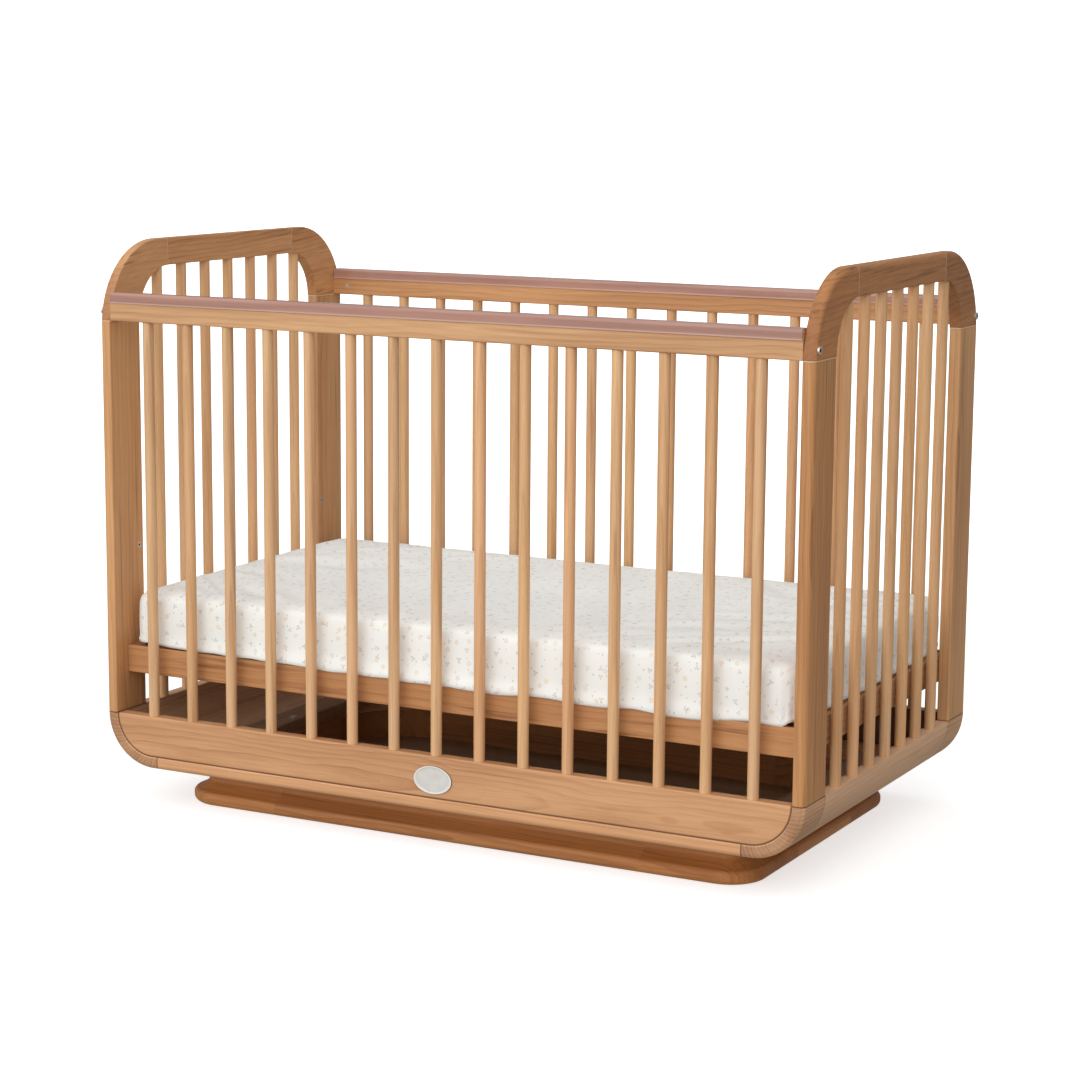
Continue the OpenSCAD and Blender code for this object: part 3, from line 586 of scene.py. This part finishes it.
def sheet_grid():
    """The fitted sheet over its flat cut (p, q).

    Away from the corners a point keeps its place along the side. Beyond the flat top it goes over the edge
    by its length along the skirt profile. In a corner the square of cloth is gathered round a quarter
    circle: the larger of the two distances is the radius and their ratio the angle.
    """
    length, out, down = skirt_profile()
    flat_r = SHEET_CORNER - EDGE_ROUND
    centre_x = SHEET_HALF_X - SHEET_CORNER
    centre_y = SHEET_HALF_Y - SHEET_CORNER
    reach_x = centre_x + flat_r + length[-1]
    reach_y = centre_y + flat_r + length[-1]
    columns = 2 * round(reach_x / CELL) + 1
    rows = 2 * round(reach_y / CELL) + 1
    p, q = np.meshgrid(np.linspace(-reach_x, reach_x, columns), np.linspace(-reach_y, reach_y, rows))
    past_x = np.abs(p) - centre_x
    past_y = np.abs(q) - centre_y
    radius = np.maximum(past_x, past_y)
    corner = (past_x > 0) & (past_y > 0)
    big = np.maximum(radius, 1e-9)
    ratio = np.where(past_y <= past_x, 0.5 * past_y / big, 1 - 0.5 * past_x / big)
    angle = np.where(corner, ratio, np.where(past_x >= past_y, 0.0, 1.0)) * math.pi / 2
    along = np.clip(radius - flat_r, 0, length[-1])
    spread = np.minimum(radius, flat_r) + np.interp(along, length, out)
    drop = np.interp(along, length, down)
    straight_x = np.where(past_x >= past_y, centre_x + spread, np.abs(p))
    straight_y = np.where(past_x >= past_y, np.abs(q), centre_y + spread)
    x = np.where(corner, centre_x + spread * np.cos(angle), straight_x)
    y = np.where(corner, centre_y + spread * np.sin(angle), straight_y)
    inside = (past_x <= 0) & (past_y <= 0)
    x = np.where(inside, np.abs(p), x) * np.sign(p)
    y = np.where(inside, np.abs(q), y) * np.sign(q)
    z = SHEET_TOP_Z - drop
    share = along / length[-1]
    normal = np.stack([np.cos(angle) * np.sign(p), np.sin(angle) * np.sign(q)], -1)
    around = np.where(corner, 0.9 * angle * SHEET_CORNER, 0) + np.abs(x) * 1.3 + np.abs(y) * 1.1
    around = around * np.sign(p) + 7.3 * np.sign(q)
    pucker = waves(around, 5, 9, 0.020, 0.10) * np.exp(-(((share - 0.26) / 0.12) ** 2)) * PUCKER_DEPTH
    ripple = waves(around, 8, 8, 0.05, 0.40) * share**2 * RIPPLE_DEPTH
    beside = np.minimum(np.abs(past_x), np.abs(past_y))
    corner_pull = np.where(corner, 1.0, np.exp(-(beside / 0.045) ** 2))
    fold = waves(angle * 0.12 + around * 0.2, 13, 6, 0.025, 0.07) * corner_pull * share**1.5 * FOLD_DEPTH
    push = (pucker + ripple + fold) * (radius > flat_r)
    crown = CROWN_RISE * (1 - np.clip(np.abs(p) / reach_x, 0, 1) ** 3)
    crown = crown * (1 - np.clip(np.abs(q) / reach_y, 0, 1) ** 3)
    rumple = (waves(p + 0.31 * q, 21, 7, 0.09, 0.5) + waves(q - 0.22 * p, 22, 7, 0.08, 0.4)) * RUMPLE_DEPTH
    hem = waves(around, 31, 6, 0.08, 0.5) * HEM_WAVE * share**3
    long_side = np.clip(np.sin(angle), 0, 1) ** 6
    sag = HEM_SAG * (0.5 + 0.5 * np.tanh((p + 0.25) / 0.15)) * (1 + 0.35 * waves(p, 41, 4, 0.15, 0.5))
    hem = hem - np.clip(sag, 0, 2 * HEM_SAG) * long_side * share**2 + CORNER_LIFT * corner_pull * share**4
    push = push + SIDE_BULGE * np.sin(np.clip((share - 0.2) / 0.7, 0, 1) * math.pi) * (share > 0.01)
    x = x + normal[..., 0] * push
    y = y + normal[..., 1] * push
    z = z + crown + np.where(share < 0.3, rumple, 0) + hem
    lowest = SHEET_LOW_Z - 0.0005 - 1.4 * HEM_SAG * long_side
    points = np.stack([x, y, np.maximum(z, lowest)], -1).reshape(-1, 3)
    cut = np.stack([p, q], -1).reshape(-1, 2)
    return points, cut, rows, columns, share.reshape(-1), (2 * reach_x, 2 * reach_y)


def fitted_sheet(collider):
    """The fitted sheet: its gathered grid, relaxed as cloth over the mattress, then given its thickness."""
    points, cut, rows, columns, share, flat = sheet_grid()
    faces = grid_faces(rows, columns)
    piece = new_piece("cotton_sheet", points, faces, printed_cotton("printed_cotton"))
    layer = piece.data.uv_layers.new(name="cut")
    corners = np.empty(len(piece.data.loops), int)
    piece.data.loops.foreach_get("vertex_index", corners)
    layer.data.foreach_set("uv", cut[corners].reshape(-1))
    relax(piece, collider, share)
    wall = piece.modifiers.new("hem_wall", "SOLIDIFY")
    wall.thickness = HEM_WALL
    wall.offset = -1.0
    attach(piece, "mattress")
    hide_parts("fitted_sheet")
    return piece


def run_cloth(piece, frames, cap):
    """Steps the cloth to its last frame, keeps the points where they are, and caps how far one has moved."""
    start = mesh_points(piece.data)
    scene = bpy.context.scene
    for number in range(1, frames + 1):
        scene.frame_set(number)
    settled = piece.evaluated_get(bpy.context.evaluated_depsgraph_get()).to_mesh()
    moved = mesh_points(settled) - start
    far = np.linalg.norm(moved, axis=1)
    moved *= np.minimum(1, cap / np.maximum(far, 1e-9))[:, None]
    piece.modifiers.clear()
    piece.data.vertices.foreach_set("co", (start + moved).reshape(-1))
    piece.data.update()
    scene.frame_set(1)


def relax(piece, collider, share):
    """Lets the sheet pull tight: its hem shrinks like elastic, and the pad underneath stops it."""
    group = piece.vertex_groups.new(name="elastic")
    for weight in range(11):
        members = np.nonzero(np.round(share * 10) == weight)[0]
        group.add([int(i) for i in members], weight / 10, "REPLACE")
    hold = piece.vertex_groups.new(name="held")
    hold.add([int(i) for i in np.nonzero(share > 0.985)[0]], 0.9, "REPLACE")
    collider.modifiers.new("solid", "COLLISION")
    collider.collision.thickness_outer = 0.001
    cloth = piece.modifiers.new("cloth", "CLOTH")
    settings = cloth.settings
    settings.quality = 6
    settings.mass = 0.2
    settings.tension_stiffness = 12
    settings.compression_stiffness = 6
    settings.shear_stiffness = 5
    settings.bending_stiffness = 0.25
    settings.effector_weights.gravity = 0.0
    settings.use_pressure = False
    settings.vertex_group_mass = "held"
    settings.vertex_group_shrink = "elastic"
    settings.shrink_min = 0.0
    settings.shrink_max = 0.06
    cloth.collision_settings.distance_min = 0.0012
    cloth.collision_settings.use_self_collision = False
    run_cloth(piece, 16, 0.008)
    collider.modifiers.clear()


def foam_pad():
    """The mattress: the CAD block fitted inside the sheet, remeshed and swollen as cloth under pressure.

    In its corners a point at the angle a from the corner's centre moves out by (cos^4 a + sin^4 a)^(-1/4),
    which squares a round corner.
    """
    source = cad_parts["mattress_core"].data.copy()
    piece = bpy.data.objects.new("foam_pad", source)
    bpy.context.collection.objects.link(piece)
    points = mesh_points(source)
    middle = (np.array(PAD_LOW) + np.array(PAD_HIGH)) / 2
    half = (np.array(PAD_HIGH) - np.array(PAD_LOW)) / 2
    target = np.array([SHEET_HALF_X - PAD_INSET, SHEET_HALF_Y - PAD_INSET, half[2] - 0.006])
    past = np.maximum(np.abs(points[:, :2] - middle[:2]) - (half[:2] - PAD_CORNER), 0)
    reach = np.maximum(np.linalg.norm(past, axis=1), 1e-9)
    square = np.sum((past / reach[:, None]) ** 4, axis=1) ** -0.25
    grow = past * (np.where(past.min(axis=1) > 0, square, 1.0) - 1)[:, None]
    points[:, :2] += grow * np.sign(points[:, :2] - middle[:2])
    points = middle + (points - middle) * target / half
    source.vertices.foreach_set("co", points.reshape(-1))
    remesh = piece.modifiers.new("even", "REMESH")
    remesh.mode = "VOXEL"
    remesh.voxel_size = PAD_CELL
    depsgraph = bpy.context.evaluated_depsgraph_get()
    even = bpy.data.meshes.new_from_object(piece.evaluated_get(depsgraph))
    piece.modifiers.clear()
    piece.data = even
    even.materials.clear()
    even.materials.append(ticking("quilted_ticking"))
    cloth = piece.modifiers.new("cloth", "CLOTH")
    cloth.settings.quality = 5
    cloth.settings.tension_stiffness = 20
    cloth.settings.compression_stiffness = 20
    cloth.settings.shear_stiffness = 10
    cloth.settings.bending_stiffness = 0.5
    cloth.settings.use_pressure = True
    cloth.settings.uniform_pressure_force = 4
    cloth.settings.effector_weights.gravity = 0.0
    run_cloth(piece, 14, 0.006)
    points = mesh_points(even)
    room = np.array([SHEET_HALF_X, SHEET_HALF_Y]) - PAD_CLEAR
    points[:, :2] = np.clip(points[:, :2], -room, room)
    points[:, 2] = np.clip(points[:, 2], PAD_LOW[2] + 0.0004, SHEET_TOP_Z - PAD_CLEAR)
    even.vertices.foreach_set("co", points.reshape(-1))
    even.polygons.foreach_set("use_smooth", np.full(len(even.polygons), True))
    even.update()
    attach(piece, "mattress")
    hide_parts("mattress_core")
    return piece


# ---- Finishes on the wooden, plastic and steel parts ----


def dress(node, material):
    """Puts one material on a carried-over part."""
    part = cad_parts[node]
    part.data.materials.clear()
    part.data.materials.append(material)


def inner_face(node):
    """How far a long board's inner face lies from the middle of the crib."""
    low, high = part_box(node)
    return min(abs(low[1]), abs(high[1]))


def dress_boards():
    """Every board gets its own cut of pine; those at the right-hand end are darker heartwood, darkened
    further as painted shade for that side.
    """
    ends = ("left", "right")
    count = 0

    def cut(node, along, kind, **grain):
        nonlocal count
        count += 1
        dress(node, pine("pine_" + node, along, 100 + count, kind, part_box(node), **grain))

    for side in ("front", "rear"):
        cut(side + "_panel", "x", "panel", ring=0.0100, pith=(0.035, 0.02), wobble=0.026, contrast=0.8,
            streaks=0.35, tilt=(0.012, 0.02), gap=True, inside=("y", inner_face(side + "_panel")))
        cut(side + "_bottom_rail", "x", "panel", ring=0.008, pith=(0.05, 0.04), wobble=0.012, contrast=0.55,
            streaks=0.25, seams=[("x", TROUGH_TAIL_X)])
        cut(side + "_top_rail", "x", "rail" if side == "front" else "arch", ring=0.0095, pith=(0.03, 0.05),
            wobble=0.020, contrast=0.75, streaks=0.4, tilt=(0.01, 0.015))
        cut(side + "_spindles", "z", "spindle", ring=0.006, pith=(0.04, 0.02), wobble=0.006, contrast=0.65,
            streaks=0.45, row=("x", SIDE_SPINDLE_PITCH))
        cut("plinth_" + side, "x", "plinth", ring=0.008, pith=(0.05, 0.03), wobble=0.012, contrast=0.75)
        cut("base_" + side + "_rail", "x", "base", ring=0.012, pith=(0.03, 0.04), wobble=0.024,
            contrast=0.85, streaks=0.6, tilt=(0.012, 0.03))
        for end in ends:
            corner = side + "_" + end
            post_kind = "heart_post_and_shade" if corner == "front_right" else "post"
            cut("post_" + corner, "z", post_kind, ring=0.0095, pith=(0.05, 0.06), wobble=0.018,
                contrast=0.8, streaks=0.45, tilt=(0.015, 0.01), seams=[("z", TROUGH_TOP)],
                eased=[("z", ARCH_JOINT_Z)])
            cut("top_arc_" + corner, "y", ARCH_KIND[end], ring=0.0105, pith=(0.03, 0.09),
                wobble=0.020, contrast=0.85, streaks=0.55, tilt=(0.10, 0.06),
                eased=[("z", ARCH_JOINT_Z), ("y", ARCH_JOINT_Y)])
            cut("bottom_corner_" + corner, "y", "corner", ring=0.0078, wobble=0.002, contrast=1.0,
                streaks=0.1, fan=(TROUGH_ARC_X, TROUGH_TOP, TROUGH_OUTER_R),
                seams=[("z", TROUGH_TOP), ("x", TROUGH_TAIL_X)])
            cut("plinth_corner_" + corner, "x", "plinth", ring=0.007, pith=(0.06, 0.02), contrast=0.75)
    for end in ends:
        cut(end + "_top_rail", "y", ARCH_KIND[end], ring=0.0100, pith=(0.03, 0.05),
            wobble=0.020, contrast=0.85, streaks=0.55, tilt=(0.05, 0.04), eased=[("y", ARCH_JOINT_Y)])
        cut(end + "_end_board", "y", "sap", ring=0.010, pith=(0.03, 0.09), wobble=0.020, contrast=0.7,
            streaks=0.4, seams=[("y", POST_INNER_Y)])
        cut(end + "_floor_board", "y", "hidden", ring=0.010, contrast=0.5)
        cut(end + "_spindles", "z", "spindle", ring=0.006, pith=(0.04, 0.02), wobble=0.006, contrast=0.65,
            streaks=0.45, row=("y", END_SPINDLE_PITCH))
        cut("plinth_" + end, "y", PLINTH_END_KIND[end], ring=0.008, contrast=0.75)
        cut("base_" + end + "_rail", "y", "base", ring=0.008, contrast=0.9, streaks=0.7)
    cut("base_slats", "y", "rail", ring=0.007, contrast=0.7, row=("x", SLAT_PITCH))
    cut("plinth_floor", "x", "hidden", ring=0.012, contrast=0.5)


def dress_fittings():
    """Guards in glossy plastic, bolts, nuts and inserts in zinc-plated steel."""
    guard = guard_plastic("guard_plastic_gloss")
    dress("front_teething_guard", guard)
    dress("rear_teething_guard", guard)
    steel = turned_steel("zinc_plated_steel")
    for node in ("rail_bolts", "rail_barrel_nuts", "floor_bolts", "post_inserts", "base_bolts"):
        dress(node, steel)


# ---- Room, light and camera ----

FLOOR_REACH = 14.0
FLOOR_Z = -0.0002
FLOOR_TURNS = 96
FLOOR_TONES = ((0.66, 0.66, 0.66, 1), (0.64, 0.64, 0.64, 1))
FLOOR_GLOW = ((0.62, 0.62, 0.62, 1), (1, 1, 1, 1))
BLACK = (0, 0, 0, 1)
KEY_LIGHT = {"place": (0.1, -6.2, 3.2), "aim": (0, 0, 0.5), "size": 6.0, "power": 115.0}
SIDE_LIGHT = {"place": (3.2, 0.3, 4.6), "aim": (0.3, 0, 0.4), "size": 3.0, "power": 12.0}
SKY_LOW = (0.31, 0.28, 0.25, 1)
SKY_HIGH = (0.36, 0.36, 0.36, 1)
GLOW = (0.93, 0.93, 0.93, 1)
GLOW_FROM = (-0.12, -0.70, 0.70)
EYE = Vector((2.2603, -4.2936, 1.3127))
YAW = math.radians(27.747)
PITCH = math.radians(9.624)
ROLL = math.radians(0.430)
LENS = 90.09


def studio_floor():
    """A round pale floor whose rim sweeps up into a wall: radius and height from an eased profile."""
    share = np.linspace(0, 1, 40)
    radius = FLOOR_REACH * np.minimum(share * 1.6, 1)
    climb = FLOOR_REACH * 1.2 * np.clip((share - 0.5) / 0.5, 0, 1) ** 2.2
    angle = np.linspace(0, 2 * math.pi, FLOOR_TURNS, endpoint=False)
    x = np.outer(radius[1:], np.cos(angle))
    y = np.outer(radius[1:], np.sin(angle))
    z = np.repeat(climb[1:], FLOOR_TURNS).reshape(x.shape) + FLOOR_Z
    points = np.vstack([np.stack([x, y, z], -1).reshape(-1, 3), [(0, 0, FLOOR_Z)]])
    faces = list(grid_faces(len(share) - 1, FLOOR_TURNS, wrap=True)[:, ::-1])
    pole = len(points) - 1
    faces += [(pole, i, (i + 1) % FLOOR_TURNS) for i in range(FLOOR_TURNS)]
    f = Finish("pale_floor")
    place = f.node("TexCoord").outputs["Object"]
    mottle = f.noise(place, 3.0, 3.0)[0]
    colour = f.mix(f.step(mottle, 0.3, 0.7), *FLOOR_TONES)
    roughness = f.step(mottle, 0.3, 0.7, 0.85, 0.95)
    material = f.finish(colour, roughness, mottle, 0.0002, 0.1, Emission_Strength=1.0,
                        Specular_IOR_Level=0.1)
    distance = f.vector("LENGTH", place)
    glow = f.mix(f.step(distance, 1.4, 3.6), *FLOOR_GLOW)
    f.tree.links.new(glow, f.shader.inputs["Emission Color"])
    floor = new_piece("studio_floor", points, faces, material)
    floor.visible_diffuse = False
    floor.visible_glossy = False
    floor.visible_shadow = False


def soft_box(name, place, aim, size, power):
    """A square white soft light at a place, turned to its aim."""
    light = bpy.data.lights.new(name, "AREA")
    light.shape = "SQUARE"
    light.size = size
    light.energy = power
    lamp = bpy.data.objects.new(name, light)
    bpy.context.collection.objects.link(lamp)
    lamp.location = place
    lamp.rotation_euler = (Vector(aim) - Vector(place)).to_track_quat("-Z", "Y").to_euler()


def light_room():
    """A wide soft glow in the sky at the front, a weak sky all round, a soft key and a side light.

    The sky goes from SKY_LOW to SKY_HIGH with the height of the direction, and the glow is added by the
    eased cosine of the angle from GLOW_FROM.
    """
    sky = Sky("studio_sky")
    direction = sky.node("TexCoord").outputs["Generated"]
    colour = sky.mix(sky.step(sky.separate(direction)[2], -0.12, 0.25), SKY_LOW, SKY_HIGH)
    facing = sky.vector("DOT_PRODUCT", direction, GLOW_FROM)
    colour = sky.mix(1.0, colour, sky.mix(sky.step(facing, 0.0, 1.0), BLACK, GLOW), "ADD")
    sky.tree.links.new(colour, sky.shader.inputs[0])
    soft_box("key_light", **KEY_LIGHT)
    soft_box("side_light", **SIDE_LIGHT)


def place_camera():
    """The camera stands to the right in front, looks slightly down and has a long lens."""
    ahead = Vector((-math.sin(YAW), math.cos(YAW), 0))
    forward = math.cos(PITCH) * ahead - Vector((0, 0, math.sin(PITCH)))
    level = Vector((math.cos(YAW), math.sin(YAW), 0))
    upright = level.cross(forward)
    right = math.cos(ROLL) * level + math.sin(ROLL) * upright
    up = -math.sin(ROLL) * level + math.cos(ROLL) * upright
    turn = Matrix((right, up, -forward)).transposed().to_4x4()
    lens = bpy.data.cameras.new("camera")
    lens.lens = LENS
    lens.sensor_width = 36.0
    camera = bpy.data.objects.new("camera", lens)
    bpy.context.collection.objects.link(camera)
    camera.matrix_world = Matrix.Translation(EYE) @ turn
    bpy.context.scene.camera = camera


bpy.context.scene.view_settings.view_transform = "Standard"
studio_floor()
light_room()
place_camera()
dress_boards()
dress_fittings()
badge_plate()
pad = foam_pad()
fitted_sheet(pad)
